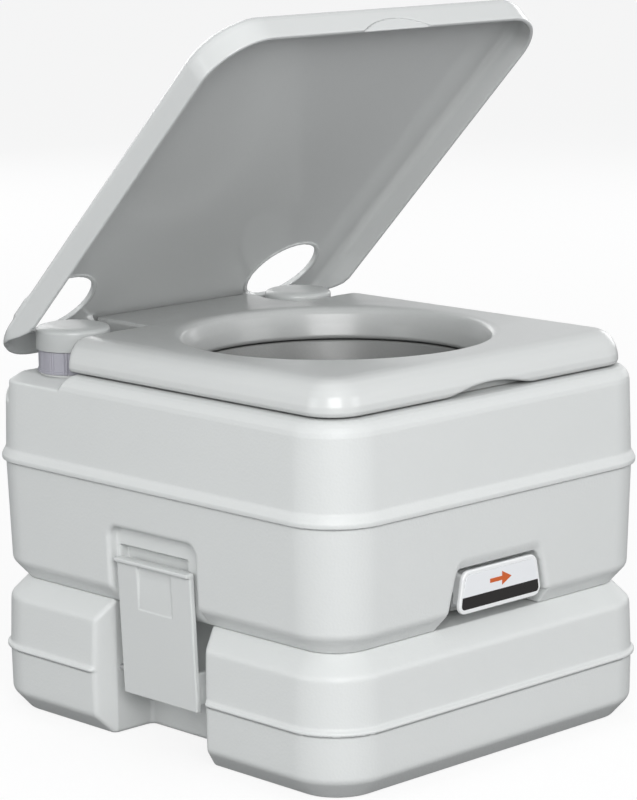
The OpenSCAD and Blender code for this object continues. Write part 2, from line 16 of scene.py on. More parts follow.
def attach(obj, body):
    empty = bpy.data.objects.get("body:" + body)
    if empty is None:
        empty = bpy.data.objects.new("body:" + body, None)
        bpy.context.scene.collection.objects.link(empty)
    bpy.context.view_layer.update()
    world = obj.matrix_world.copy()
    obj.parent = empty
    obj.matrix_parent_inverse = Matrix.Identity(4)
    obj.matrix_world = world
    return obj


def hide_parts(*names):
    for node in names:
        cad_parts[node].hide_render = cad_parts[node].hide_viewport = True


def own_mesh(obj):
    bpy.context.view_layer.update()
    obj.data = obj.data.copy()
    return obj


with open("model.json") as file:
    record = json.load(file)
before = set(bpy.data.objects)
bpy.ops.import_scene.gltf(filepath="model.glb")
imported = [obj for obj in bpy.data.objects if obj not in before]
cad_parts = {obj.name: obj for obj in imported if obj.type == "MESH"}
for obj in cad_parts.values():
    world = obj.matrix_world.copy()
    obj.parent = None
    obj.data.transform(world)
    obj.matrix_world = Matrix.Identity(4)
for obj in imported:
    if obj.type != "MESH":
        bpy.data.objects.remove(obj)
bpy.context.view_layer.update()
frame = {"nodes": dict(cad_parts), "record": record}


# ------------------------------------------------------------------ shared sizes, mm
TANK_HALF_X, TANK_HALF_Y, TANK_CORNER = 182.5, 207.5, 49.0
HINGE_Y, HINGE_Z = 167.7, 300.0
PUMP_X, FILLER_X, CAPS_Y = -137.0, 112.0, 136.5
BOWL_Y = -25.0
COARSE = 1.0  # grid step multiplier of the large shells


# ------------------------------------------------------------------ distance fields
# A field gives the signed distance to a surface, negative inside. x, y and z are either
# broadcastable grid axes or flat lists of points.
def radial(a, b, center_a=0, center_b=0):
    """Distance from an axis that is square to the (a, b) plane."""
    return np.sqrt((a - center_a) ** 2 + (b - center_b) ** 2)


def rounded_rect(x, y, half_x, half_y, radius):
    qx = np.abs(x) - (half_x - radius)
    qy = np.abs(y) - (half_y - radius)
    return (np.sqrt(np.maximum(qx, 0) ** 2 + np.maximum(qy, 0) ** 2)
            + np.minimum(np.maximum(qx, qy), 0) - radius)


def box(at, center, half, radius):
    """A box with half sizes `half` and rounded edges, measured at (x, y, z)."""
    qx, qy, qz = [np.abs(at[a] - center[a]) - (half[a] - radius) for a in range(3)]
    return (np.sqrt(np.maximum(qx, 0) ** 2 + np.maximum(qy, 0) ** 2 + np.maximum(qz, 0) ** 2)
            + np.minimum(np.maximum(np.maximum(qx, qy), qz), 0) - radius)


def intersect(a, b, blend):
    h = np.maximum(blend - np.abs(a - b), 0) / blend
    return np.maximum(a, b) + h * h * blend * 0.25


def join(a, b, blend):
    return -intersect(-a, -b, blend)


def carve(a, b, blend):
    return intersect(a, -b, blend)


def polygon(px, py, points):
    """Distance to a closed polygon."""
    nearest = None
    inside = None
    for i, (ax, ay) in enumerate(points):
        bx, by = points[(i + 1) % len(points)]
        ex, ey = bx - ax, by - ay
        wx, wy = px - ax, py - ay
        t = np.clip((wx * ex + wy * ey) / (ex * ex + ey * ey + 1e-12), 0, 1)
        squared = (wx - ex * t) ** 2 + (wy - ey * t) ** 2
        nearest = squared if nearest is None else np.minimum(nearest, squared)
        crossed = ((ay <= py) & (by > py) & (ex * wy - ey * wx > 0)) | \
                  ((ay > py) & (by <= py) & (ex * wy - ey * wx < 0))
        inside = crossed if inside is None else inside ^ crossed
    return np.where(inside, -1.0, 1.0) * np.sqrt(nearest)


def rounded(points, steps=5):
    """The polygon with each corner (x, y, radius) turned into an arc; no radius, no arc."""
    out = []
    for i, point in enumerate(points):
        p = np.array(point[:2], float)
        radius = point[2] if len(point) > 2 else 0
        a = np.array(points[i - 1][:2], float) - p
        b = np.array(points[(i + 1) % len(points)][:2], float) - p
        len_a, len_b = np.linalg.norm(a), np.linalg.norm(b)
        if radius <= 0 or len_a < 1e-6 or len_b < 1e-6:
            out.append(tuple(p))
            continue
        a, b = a / len_a, b / len_b
        angle = math.acos(max(-1, min(1, float(a @ b))))
        if angle > math.pi - 1e-3:
            out.append(tuple(p))
            continue
        trim = min(radius / math.tan(angle / 2), 0.48 * len_a, 0.48 * len_b)
        radius = trim * math.tan(angle / 2)
        center = p + (a + b) / np.linalg.norm(a + b) * (radius / math.sin(angle / 2))
        start, end = p + a * trim - center, p + b * trim - center
        t0, t1 = math.atan2(start[1], start[0]), math.atan2(end[1], end[0])
        turn = (t1 - t0 + math.pi) % (2 * math.pi) - math.pi
        for k in range(steps + 1):
            t = t0 + turn * k / steps
            out.append((center[0] + radius * math.cos(t), center[1] + radius * math.sin(t)))
    return out


class Profile:
    """Lookup table of the distance to a polygon in (u, z)."""

    def __init__(self, points, u_range, z_range, step=0.2):
        self.u0, self.z0, self.step = u_range[0], z_range[0], step
        us = np.arange(u_range[0], u_range[1] + step, step)
        zs = np.arange(z_range[0], z_range[1] + step, step)
        self.table = polygon(us[:, None], zs[None, :], points).astype(np.float32)

    def __call__(self, u, z):
        table = self.table
        a = np.clip((u - self.u0) / self.step, 0, table.shape[0] - 1.001)
        b = np.clip((z - self.z0) / self.step, 0, table.shape[1] - 1.001)
        a, b = np.broadcast_arrays(a, b)
        i, j = a.astype(np.int32), b.astype(np.int32)
        fa, fb = a - i, b - j
        return ((table[i, j] * (1 - fa) + table[i + 1, j] * fa) * (1 - fb)
                + (table[i, j + 1] * (1 - fa) + table[i + 1, j + 1] * fa) * fb)


# ------------------------------------------------------------------ meshing
CORNERS = list(np.ndindex(2, 2, 2))
EDGES = [(a, b) for a in range(8) for b in range(a + 1, 8) if bin(a ^ b).count("1") == 1]


def mesh_field(field, low, high, step):
    """Surface nets over a grid, then Newton steps on to the true surface.

    Returns the points, the quads and a unit normal for each point.
    """
    low, step = np.array(low, float), np.array(step, float)
    count = [int(math.ceil((high[a] - low[a]) / step[a])) + 1 for a in range(3)]
    ax = [(low[a] + step[a] * np.arange(count[a])).astype(np.float32) for a in range(3)]
    grid = np.asarray(field(ax[0][:, None, None], ax[1][None, :, None], ax[2][None, None, :]),
                      np.float32)
    inside = grid < 0

    # one point in each cell that the surface crosses
    filled = np.zeros([n - 1 for n in count], np.int8)
    for i, j, k in CORNERS:
        filled += inside[i:count[0] - 1 + i, j:count[1] - 1 + j, k:count[2] - 1 + k]
    active = (filled > 0) & (filled < 8)
    cells = np.argwhere(active)
    index = np.full(active.shape, -1, np.int32)
    index[active] = np.arange(len(cells), dtype=np.int32)
    values = np.stack([grid[cells[:, 0] + i, cells[:, 1] + j, cells[:, 2] + k]
                       for i, j, k in CORNERS], 1).astype(float)
    total, hits = np.zeros((len(cells), 3)), np.zeros(len(cells))
    for a, b in EDGES:
        va, vb = values[:, a], values[:, b]
        cut = (va < 0) != (vb < 0)
        t = va[cut] / (va[cut] - vb[cut])
        pa, pb = np.array(CORNERS[a], float), np.array(CORNERS[b], float)
        total[cut] += pa + t[:, None] * (pb - pa)
        hits[cut] += 1
    points = low + step * (cells + total / hits[:, None])

    # one quad around each grid edge that the surface crosses
    quads = []
    for axis in range(3):
        here, ahead = [slice(1, -1)] * 3, [slice(1, -1)] * 3
        here[axis], ahead[axis] = slice(0, -1), slice(1, None)
        crossing = np.argwhere(inside[tuple(here)] != inside[tuple(ahead)])
        node = crossing + 1
        node[:, axis] = crossing[:, axis]
        ring = []
        for da, db in ((-1, -1), (0, -1), (0, 0), (-1, 0)):
            cell = node.copy()
            cell[:, (axis + 1) % 3] += da
            cell[:, (axis + 2) % 3] += db
            ring.append(index[tuple(cell.T)])
        quad = np.stack(ring, 1)
        flip = ~inside[tuple(node.T)]
        quad[flip] = quad[flip][:, ::-1]
        quads.append(quad)

    def gradient(reach):
        slopes = []
        for offset in np.eye(3) * reach:
            slopes.append(field(*(points + offset).T) - field(*(points - offset).T))
        return np.stack(slopes, 1) / (2 * reach)

    longest = float(step.max()) * 0.6
    for _ in range(3):
        g = gradient(0.12)
        move = -(field(*points.T) / np.maximum((g * g).sum(1), 0.25))[:, None] * g
        length = np.linalg.norm(move, axis=1)
        points = points + move * np.minimum(1, longest / np.maximum(length, 1e-9))[:, None]
    normals = gradient(0.35)
    normals /= np.maximum(np.linalg.norm(normals, axis=1), 1e-9)[:, None]
    return points, np.concatenate(quads).tolist(), normals


def link(name, data):
    obj = bpy.data.objects.new(name, data)
    bpy.context.scene.collection.objects.link(obj)
    return obj


def add_mesh(name, points, faces, normals=None, transform=None):
    """A mesh object from millimetre points; transform is an optional 4x4 in millimetres."""
    points = np.asarray(points, float)
    if transform is not None:
        turn = transform[:3, :3].T
        points = points @ turn + transform[:3, 3]
        normals = normals @ turn
    mesh = bpy.data.meshes.new(name)
    mesh.from_pydata((points / 1000.0).tolist(), [], faces)
    mesh.validate(verbose=False)
    mesh.update()
    mesh.shade_smooth()
    if normals is not None:
        mesh.normals_split_custom_set_from_vertices(normals.tolist())
    return link(name, mesh)


def crisp(obj, angle=35):
    """Turn the faces outwards and sharpen edges steeper than the angle in degrees."""
    bm = bmesh.new()
    bm.from_mesh(obj.data)
    bmesh.ops.recalc_face_normals(bm, faces=bm.faces)
    bm.to_mesh(obj.data)
    bm.free()
    obj.data.shade_smooth()
    obj.data.set_sharp_from_angle(angle=math.radians(angle))
    return obj


def lathe(outline, center_x, center_y, segments, shape=None):
    """Revolve closed (radius, z) points about a vertical axis; shape(r, angle) varies r."""
    points, faces, rows = [], [], []
    angles = 2 * np.pi * np.arange(segments) / segments
    for r, z in outline:
        if r < 1e-6:
            rows.append([len(points)])
            points.append((center_x, center_y, z))
            continue
        row = []
        for angle in angles:
            reach = shape(r, angle) if shape else r
            row.append(len(points))
            points.append((center_x + reach * math.cos(angle),
                           center_y + reach * math.sin(angle), z))
        rows.append(row)
    for i, a in enumerate(rows):
        b = rows[(i + 1) % len(rows)]
        if len(a) == 1 and len(b) == 1:
            continue
        for k in range(segments):
            k2 = (k + 1) % segments
            if len(a) == 1:
                faces.append((a[0], b[k2], b[k]))
            elif len(b) == 1:
                faces.append((a[k], a[k2], b[0]))
            else:
                faces.append((a[k], a[k2], b[k2], b[k]))
    return points, faces


# ------------------------------------------------------------------ materials
def set_inputs(tree, node, values):
    """Fill inputs by name or number: an output socket is linked, anything else is a value."""
    for key, value in values.items():
        if isinstance(value, bpy.types.NodeSocket):
            tree.links.new(value, node.inputs[key])
        else:
            node.inputs[key].default_value = value


def add_node(tree, kind, values=None, **settings):
    node = tree.nodes.new("ShaderNode" + kind)
    for key, value in settings.items():
        setattr(node, key, value)
    set_inputs(tree, node, values or {})
    return node


def map_range(tree, value, source=(0.0, 1.0), target=(0.0, 1.0)):
    return add_node(tree, "MapRange", {
        "Value": value, "From Min": source[0], "From Max": source[1],
        "To Min": target[0], "To Max": target[1]}).outputs[0]


def mix_color(tree, factor, a, b, **settings):
    return add_node(tree, "Mix", {"Factor": factor, "A": a, "B": b},
                    data_type="RGBA", **settings).outputs["Result"]


def noise(tree, coords, scale, detail):
    return add_node(tree, "TexNoise", {
        "Vector": coords, "Scale": scale, "Detail": detail}).outputs["Fac"]


def rgba(color, gain, offset=0):
    return (*[min(1, c * gain + offset) for c in color], 1)


def surface(name, color, rough, grain, bump, vary, rough_spread=0.08, stipple=0.0, coat=0.0,
            coat_rough=0.06, metallic=0.0, dirt=0.0, reach=0.10, dish=None):
    """A moulded surface.

    The hollow factor is painted shade: ambient occlusion darkens the colour in hollows as deep as
    `reach` metres. The ring entry, (x, y), (inner, outer radius), tone, is painted shade too: it
    darkens the colour near a vertical axis, in metres.
    """
    material = bpy.data.materials.new(name)
    material.use_nodes = True
    tree = material.node_tree
    tree.nodes.clear()
    output = add_node(tree, "OutputMaterial")
    shader = add_node(tree, "BsdfPrincipled")
    set_inputs(tree, output, {0: shader.outputs[0]})
    coords = add_node(tree, "TexCoord").outputs["Object"]

    # broad tone variation, paler on convex edges
    tone = mix_color(tree, noise(tree, coords, scale=9.0, detail=4.0),
                     rgba(color, 1 - vary), rgba(color, 1 + vary * 0.6))
    edge = map_range(tree, add_node(tree, "NewGeometry").outputs["Pointiness"],
                     source=(0.50, 0.58), target=(0.0, 0.22))
    tone = mix_color(tree, edge, tone, rgba(color, 1.08, 0.01))
    # painted shade: ambient occlusion darkens the colour in hollows and under overhangs
    if dirt > 0:
        hollow = add_node(tree, "AmbientOcclusion", {"Distance": reach}, samples=6)
        shade = map_range(tree, hollow.outputs["AO"], target=(1 - dirt, 1.0))
        tone = mix_color(tree, 1.0, tone, shade, blend_type="MULTIPLY")
    # painted shade: the colour darkens near a vertical axis, standing in for the shade over the
    # seat's hollow round the opening
    if dish:
        (center_x, center_y), radii, ring_shade_level = dish
        away = add_node(tree, "VectorMath", {0: coords, 1: (center_x, center_y, 0)},
                        operation="SUBTRACT")
        flat = add_node(tree, "VectorMath", {0: away.outputs[0], 1: (1, 1, 0)},
                        operation="MULTIPLY")
        distance = add_node(tree, "VectorMath", {0: flat.outputs[0]}, operation="LENGTH")
        shade = map_range(tree, distance.outputs["Value"], source=radii, target=(ring_shade_level, 1.0))
        tone = mix_color(tree, 1.0, tone, shade, blend_type="MULTIPLY")

    roughness = map_range(
        tree, noise(tree, coords, scale=60.0, detail=5.0), source=(0.3, 0.7),
        target=(max(0.02, rough - rough_spread / 2), min(1.0, rough + rough_spread / 2)))
    relief = add_node(tree, "Bump", {
        "Height": noise(tree, coords, scale=grain, detail=2.0),
        "Strength": bump, "Distance": 0.0004})
    if stipple > 0:
        dots = add_node(tree, "TexVoronoi", {"Vector": coords, "Scale": 420.0})
        relief = add_node(tree, "Bump", {
            "Height": dots.outputs["Distance"], "Strength": stipple, "Distance": 0.0005,
            "Normal": relief.outputs[0]})
    set_inputs(tree, shader, {
        "Base Color": tone, "Roughness": roughness, "Normal": relief.outputs[0], "IOR": 1.5,
        "Metallic": metallic, "Coat Weight": coat, "Coat Roughness": coat_rough})
    return material


# slot: name, base colour, roughness, grain scale, grain bump, tone variation, other arguments
# the hollow factors below paint shade into the colour of the tank, seat, lid and bowl
SURFACES = {
    "tank_plastic": ("moulded_tank_plastic", (0.735, 0.752, 0.745), 0.46, 800, 0.10, 0.02,
                     dict(stipple=0.16, dirt=0.12, reach=0.03)),
    # seat: painted shade in its hollows and in a ring round the opening
    "seat_plastic": ("seat_gloss_plastic", (0.69, 0.705, 0.698), 0.30, 500, 0.01, 0.012,
                     dict(coat=0.2, coat_rough=0.16, rough_spread=0.03, dirt=0.6, reach=0.20,
                          dish=((0.0, BOWL_Y / 1000), (0.112, 0.126), 0.42))),
    "lid_plastic": ("lid_gloss_plastic", (0.72, 0.735, 0.73), 0.20, 500, 0.02, 0.015,
                    dict(coat=0.2, rough_spread=0.04, dirt=0.25, reach=0.30)),
    "collar_plastic": ("collar_lavender_plastic", (0.36, 0.355, 0.40), 0.38, 900, 0.10, 0.03, {}),
    "cap_plastic": ("cap_gloss_plastic", (0.50, 0.515, 0.51), 0.36, 700, 0.05, 0.02,
                    dict(coat=0.2)),
    "latch_plastic": ("latch_satin_plastic", (0.72, 0.737, 0.73), 0.40, 800, 0.08, 0.02,
                      dict(stipple=0.08)),
    "handle_plastic": ("handle_white_plastic", (0.91, 0.92, 0.925), 0.22, 700, 0.04, 0.015,
                       dict(coat=0.3)),
    "badge_print": ("badge_black_print", (0.018, 0.016, 0.016), 0.30, 1200, 0.05, 0.1,
                    dict(coat=0.3)),
    # bowl: base colour set darker than the bowl's own light grey, partly a painted shade, plus
    # painted shade in its hollows
    "bowl_plastic": ("bowl_gloss_plastic", (0.44, 0.448, 0.44), 0.38, 500, 0.03, 0.02,
                     dict(dirt=0.85, reach=0.30)),
    "inner_plastic": ("inner_natural_plastic", (0.55, 0.56, 0.55), 0.45, 800, 0.10, 0.03,
                      dict(stipple=0.1)),
    "hose_plastic": ("hose_soft_plastic", (0.52, 0.56, 0.58), 0.35, 600, 0.08, 0.04, {}),
    "seal_rubber": ("seal_black_rubber", (0.022, 0.022, 0.024), 0.62, 900, 0.25, 0.15,
                    dict(stipple=0.2)),
    "steel": ("satin_steel", (0.60, 0.60, 0.61), 0.30, 1600, 0.12, 0.05, dict(metallic=1.0)),
    "badge_orange": ("badge_orange_print", (0.64, 0.13, 0.03), 0.35, 1200, 0.05, 0.05, {}),
    "badge_white": ("badge_white_field", (0.88, 0.895, 0.915), 0.18, 900, 0.03, 0.01,
                    dict(coat=0.4)),
}
MATERIALS = {slot: surface(*row[:-1], **row[-1]) for slot, row in SURFACES.items()}

SLOTS = {part["node"]: part["material_slot"] for part in frame["record"]["subparts"]}
for node_name, cad in frame["nodes"].items():
    cad.data.materials.clear()
    cad.data.materials.append(MATERIALS[SLOTS[node_name]])
    for face in cad.data.polygons:
        face.material_index = 0


# ------------------------------------------------------------------ making pieces
def finish(obj, body, slot, *nodes, material=None):
    """Give a piece its material, its moving body and the CAD nodes it stands in for."""
    obj.data.materials.append(MATERIALS[material or slot])
    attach(obj, body)
    if nodes:
        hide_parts(*nodes)
    return obj


def mould(name, field, low, high, step, body, slot, node, transform=None):
    obj = add_mesh(name, *mesh_field(field, low, high, step), transform)
    return finish(obj, body, slot, node)


def turned(name, outline, center, segments, body, slot, *nodes, shape=None, angle=35):
    obj = add_mesh(name, *lathe(outline, *center, segments, shape))
    return finish(crisp(obj, angle), body, slot, *nodes)


# ------------------------------------------------------------------ waste tank
# wall sections of both tanks: offset out from the plan outline, z, corner radius
WASTE_WALL = Profile(rounded([
    (-400, 0), (-17, 0, 3.5), (-3.4, 15.2, 9), (-2.7, 50.9, 0.6), (-0.1, 51.7, 0.8),
    (0.0, 54.3, 1.2), (-2.7, 56.0, 2.0), (-4.1, 94.7, 8), (-19.4, 109.9, 1.6), (-400, 109.9)]),
    (-60, 14), (-8, 118))
CHANNEL_Y = 4.0
# plan of the upright channel in each side: |x|, y, corner radius
CHANNEL = rounded([
    (127, CHANNEL_Y - 57, 4), (127, CHANNEL_Y + 57, 4), (163, CHANNEL_Y + 57, 2),
    (199, CHANNEL_Y + 76), (199, CHANNEL_Y - 76), (163, CHANNEL_Y - 57, 2)])
STUB_X, STUB_Z = -75, 58
STUB_RADIUS, STUB_RECESS_RADIUS = 24, 36


def waste_field(x, y, z):
    d = WASTE_WALL(rounded_rect(x, y, TANK_HALF_X, TANK_HALF_Y, TANK_CORNER), z)
    d = carve(d, polygon(np.abs(x), y, CHANNEL), 3.5)
    # round stub in a round recess in the back wall
    r = radial(x, z, STUB_X, STUB_Z)
    d = carve(d, intersect(r - STUB_RECESS_RADIUS, 162 - y, 3), 3)
    stub = intersect(r - STUB_RADIUS, y - 190, 1.0)
    return join(d, intersect(stub, 150 - y, 1.0), 2.0)


mould("waste_tank_moulding", waste_field, (-187, -212, -4), (187, 212, 114),
      (2.0 * COARSE, 2.0 * COARSE, 1.2 * COARSE), "tank", "tank_plastic", "waste_tank_shell")

# ------------------------------------------------------------------ flush tank
FLUSH_WALL = Profile(rounded([
    (-400, 110.1), (-19.4, 110.1, 1.6), (-6.4, 124.3, 9), (-3.4, 206.8, 1.0), (-0.3, 208.0, 0.9),
    (0.0, 211.2, 2.0), (-1.8, 215.0, 4.0), (-3.6, 218.0, 4.0), (-5.4, 286, 12), (-400, 286)]),
    (-60, 14), (102, 294))
# well that holds the bowl: radius, z
WELL = Profile([
    (-50, 100), (50, 100), (50, 131), (54, 138), (70, 155), (95.5, 193), (111.5, 231),
    (119, 267.5), (121.5, 283.4), (134.6, 283.4), (134.6, 300), (-50, 300)],
    (0, 190), (102, 294), 0.5)
# front view of the handle bay: x, z, corner radius
BAY = rounded([
    (-57.5, 90), (-57.5, 114), (-54.5, 128), (-49, 148, 8), (-44.5, 156.8, 6),
    (43, 156.8, 6), (47.5, 148, 8), (53, 128), (56.5, 114), (56.5, 90)])
DECK_Z = 280  # lowered deck behind the seat


def bay_lift(y):
    """How far the bay outline rises as it nears the front face."""
    return np.clip((-y - 199) * 1.8, 0, 9.5)


def bay_field(x, y, z):
    if x.ndim == 1:
        return polygon(x, z - bay_lift(y), BAY)
    # on a grid, only the slices near the front wall are worked out
    out = np.full(np.broadcast_shapes(x.shape, y.shape, z.shape), 60.0, np.float32)
    rows = y.ravel()
    for j in np.nonzero(rows < -150)[0]:
        out[:, j, :] = polygon(x[:, 0, :], z[:, 0, :] - bay_lift(rows[j]), BAY)
    return out


def flush_field(x, y, z):
    at_side = np.abs(x), y, z
    side = at_side[0]
    d = FLUSH_WALL(rounded_rect(x, y, TANK_HALF_X, TANK_HALF_Y, TANK_CORNER), z)
    # rear deck, falling away towards its sides
    deck = np.maximum(0.84 * (104.5 - 0.65 * (z - DECK_Z) - y),
                      join(DECK_Z - z, 0.944 * (DECK_Z - 0.35 * (side - 160) - z), 1.0))
    d = carve(d, deck, 1.6)
    # round trough about the hinge axis at the back
    d = carve(d, intersect(radial(y, z, HINGE_Y, HINGE_Z) - 44, 174.5 - y, 3), 3)
    # side pocket behind each latch, and the deeper slot near its top
    pocket = intersect(rounded_rect(y, z - 116.9, 50, 56.9, 9), 168.5 - side, 2.5)
    d = carve(d, pocket, 4.5)
    d = carve(d, box(at_side, (180, 7.5, 149.8), (20, 39.5, 8.3), 1.5), 1.2)
    d = carve(d, intersect(bay_field(x, y, z), y + 160, 5), 3.0)
    # tunnel along the underside from the front, wider behind the bay
    half_width = 57.0 + 3.5 * np.clip((y + 103) / 8, 0, 1)
    tunnel = intersect(np.maximum(side - half_width, z - 123.5), y - 45, 2)
    d = carve(d, tunnel, 1.5)
    return carve(d, WELL(radial(x, y, 0, BOWL_Y), z), 0.8)


mould("flush_tank_moulding", flush_field, (-187, -212, 106), (187, 212, 290),
      (2.0 * COARSE, 2.0 * COARSE, 1.2 * COARSE), "tank", "tank_plastic", "flush_tank_shell")

# ------------------------------------------------------------------ seat
SEAT_Y, SEAT_HALF_X, SEAT_HALF_Y, SEAT_CORNER = -16.0, 167, 176.0, 30
CAP_CUT = 32.5  # clearance radius about the pump cap
# outer and underside sections: offset out from the plan outline, z, corner radius
SEAT_OUTER = Profile(rounded([
    (-400, 287.4), (-1.4, 287.4, 1.2), (0, 290.4, 2.5), (-0.4, 295, 10), (-2.3, 302, 14),
    (-5.2, 307, 12), (-9.2, 311, 12), (-14, 313.4, 14), (-20, 314.5, 20), (-400, 314.5)]),
    (-60, 12), (278, 322))
SEAT_INNER = Profile(rounded([
    (-400, 270), (-4.0, 270), (-4.4, 297, 8), (-5.8, 302, 8), (-9, 307, 8), (-17, 311.2, 8),
    (-400, 311.2)]), (-60, 12), (278, 322))
# round opening: radius, z, corner radius
OPENING = Profile(rounded([
    (-50, 260), (117.0, 260), (117.0, 291, 3), (119.5, 300, 14), (125.0, 315.5, 22),
    (150, 316.8, 3), (160, 330), (-50, 330)]), (0, 190), (278, 322))


def seat_cavity(x, y, z, u, r):
    """The hollow underside, less its ribs, bosses and solid front patch."""
    d = np.maximum(np.maximum(SEAT_INNER(u, z), 129 - r), y - 88)
    from_bowl = y - BOWL_Y
    for degrees in range(20, 360, 40):
        c, s = math.cos(math.radians(degrees)), math.sin(math.radians(degrees))
        rib = np.maximum(np.abs(x * s - from_bowl * c) - 1.25, 60 - (x * c + from_bowl * s))
        d = np.maximum(d, -rib)
    for boss_y in (-148, 60):
        d = np.maximum(d, 7.5 - radial(np.abs(x), y, 128, boss_y))
    return np.maximum(d, -np.maximum(np.abs(x - 2) - 52, y + 176))


def seat_field(x, y, z):
    at, side = (x, y, z), np.abs(x)
    u = rounded_rect(x, y - SEAT_Y, SEAT_HALF_X, SEAT_HALF_Y, SEAT_CORNER)
    r = radial(x, y, 0, BOWL_Y)
    d = intersect(SEAT_OUTER(u, z), y - 110, 7)
    # neck to the hinge, with a knuckle on each side
    d = join(d, box(at, (0, 120, 302), (84, 52, 12.4), 3), 1.5)
    knuckle = radial(y, z, HINGE_Y, HINGE_Z) - 9
    d = join(d, intersect(knuckle, np.abs(side - 73) - 11, 1.0), 1)
    d = carve(d, seat_cavity(x, y, z, u, r), 1.0)
    # hollow under the neck, narrower between the knuckles
    hollow = box(at, (0, 143, 296.5), (80, 37, 12.5), 2)
    d = carve(d, np.maximum(hollow, side - np.where(y > 150, 62, 80)), 1.0)
    d = carve(d, OPENING(r, z), 4.0)
    for cap_x, cut in ((PUMP_X, CAP_CUT), (FILLER_X, CAP_CUT - 1.1)):
        d = carve(d, radial(x, y, cap_x, CAPS_Y) - cut, 3.5)
    # arched scoop in the front edge, with a low bar behind it
    scoop = intersect(radial(x, z, 2, 153.5) - 140, y + 180.5, 4)
    d = carve(d, scoop, 3)
    return join(d, box(at, (2, -178.5, 290), (44, 1.8, 3.6), 0.8), 1.5)


mould("seat_moulding", seat_field, (-171, -196, 283), (171, 181, 319),
      (1.6 * COARSE, 1.6 * COARSE, 1.1), "seat_body", "seat_plastic", "seat")

# ------------------------------------------------------------------ lid
# The lid is shaped closed, then turned open about the hinge.
LID_Y, LID_HALF_X, LID_HALF_Y, LID_CORNER = 1.5, 176.5, 203.5, 48
LID_ANGLE = math.radians(-45)
EAR_X, EAR_HALF = 88.25, 2.75
LID_HOLES_X = (-138.0, FILLER_X)
# outer and inner sections: offset out from the plan outline, z, corner radius
LID_OUTER = Profile(rounded([
    (-400, 293.5), (0, 293.5, 1.0), (-0.6, 319, 9.5), (-400, 319)]), (-60, 12), (284, 326))
LID_INNER = Profile(rounded([
    (-400, 270), (-3.2, 270), (-3.9, 315.5, 7.5), (-400, 315.5)]), (-60, 12), (284, 326))
# side view of the sweep cut from the underside at the back: y, z, corner radius
SWEEP = rounded([
    (131, 270), (131, 293.5, 8), (141, 295, 8), (152, 299.5, 12), (166, 307, 12),
    (178, 312.3, 10), (187, 314.4, 8), (240, 314.4), (240, 270)])


def lid_field(x, y, z):
    side = np.abs(x)
    u = rounded_rect(x, y - LID_Y, LID_HALF_X, LID_HALF_Y, LID_CORNER)
    d = carve(LID_OUTER(u, z), LID_INNER(u, z), 1.0)
    d = carve(d, polygon(y, z, SWEEP), 1.2)
    # arched notch in the front edge
    d = carve(d, np.maximum(radial(x, z, -1, 233.5) - 70, y + 200.4), 0.8)
    for hole_x in LID_HOLES_X:
        rim = radial(x, y, hole_x, CAPS_Y) - 37
        rim = np.maximum(np.maximum(rim, 314.7 - z), z - 318.0)
        rim = np.maximum(rim, rounded_rect(x, y - LID_Y, 174, 201, 46))
        d = join(d, rim, 0.8)
    # hinge ears
    knuckle = radial(y, z, HINGE_Y, HINGE_Z) - 8
    knuckle = intersect(knuckle, np.abs(side - EAR_X) - EAR_HALF, 0.8)
    web = box((side, y, z), (EAR_X, 167.5, 308.5), (EAR_HALF, 6.5, 8.5), 0.8)
    d = join(d, join(knuckle, web, 1.5), 2)
    for hole_x in LID_HOLES_X:
        hole = np.maximum(radial(x, y, hole_x, CAPS_Y) - 34, 312.5 - z)
        d = carve(d, hole, 1.0)
    bore = np.maximum(radial(y, z, HINGE_Y, HINGE_Z) - 3.05, 80 - side)
    return carve(d, bore, 0.4)


def lid_opening():
    turn, to_hinge, back = np.eye(4), np.eye(4), np.eye(4)
    c, s = math.cos(LID_ANGLE), math.sin(LID_ANGLE)
    turn[1:3, 1:3] = [[c, -s], [s, c]]
    to_hinge[:3, 3] = (0, -HINGE_Y, -HINGE_Z)
    back[:3, 3] = (0, HINGE_Y, HINGE_Z)
    return back @ turn @ to_hinge


mould("lid_moulding", lid_field, (-180, -206, 288), (180, 209, 323),
      (1.5 * COARSE, 1.5 * COARSE, 1.0), "lid_body", "lid_plastic", "lid", lid_opening())

# ------------------------------------------------------------------ latches
LATCH_TOP, LATCH_HEIGHT, LATCH_LEAN = 150.3, 110.8, 5.0


def latch_field(x, y, z):
    """The latch on the +X side."""
    at = (x, y, z)
    lean = LATCH_LEAN * ((LATCH_TOP - z) / LATCH_HEIGHT)
    d = box((x - (173.75 - lean), y, z), (0, 0, 94.9), (2.25, 43, LATCH_HEIGHT / 2), 1.0)
    lip = box(at, (175.5, 0, 148.6), (3.5, 43, 1.7), 0.9)
    d = join(d, lip, 1.5)
    hook = box(at, (168, 6.75, 145.5), (5, 36.25, 2.5), 0.8)
    d = join(d, hook, 1)
    # pivot lugs near the foot
    end = np.abs(y)
    lug = box((x, end, z), (164, 40.5, 58), (6, 2.5, 13), 1)
    boss = intersect(radial(x, z, 158, 54) - 7, np.abs(end - 40.5) - 2.5, 0.8)
    d = join(d, join(lug, boss, 1), 1)
    # recess in the outer face, fading out downwards
    depth = 2.1 - 2.1 * np.clip((138 - z) / 26, 0, 1)
    recess = np.maximum(np.maximum(end - 19, z - 146.2), (176 - lean - depth) - x)
    return carve(d, np.maximum(recess, 112 - z), 1.6)


points, quads, normals = mesh_field(latch_field, (148, -47, 39), (183, 47, 154), (0.9, 1.2, 1.2))
finish(add_mesh("latch_right_moulding", points, quads, normals),
       "right_latch", "latch_plastic", "latch_right")
mirrored = [quad[::-1] for quad in quads]
finish(add_mesh("latch_left_moulding", points, mirrored, normals, np.diag([-1.0, 1.0, 1.0, 1.0])),
       "left_latch", "latch_plastic", "latch_left")

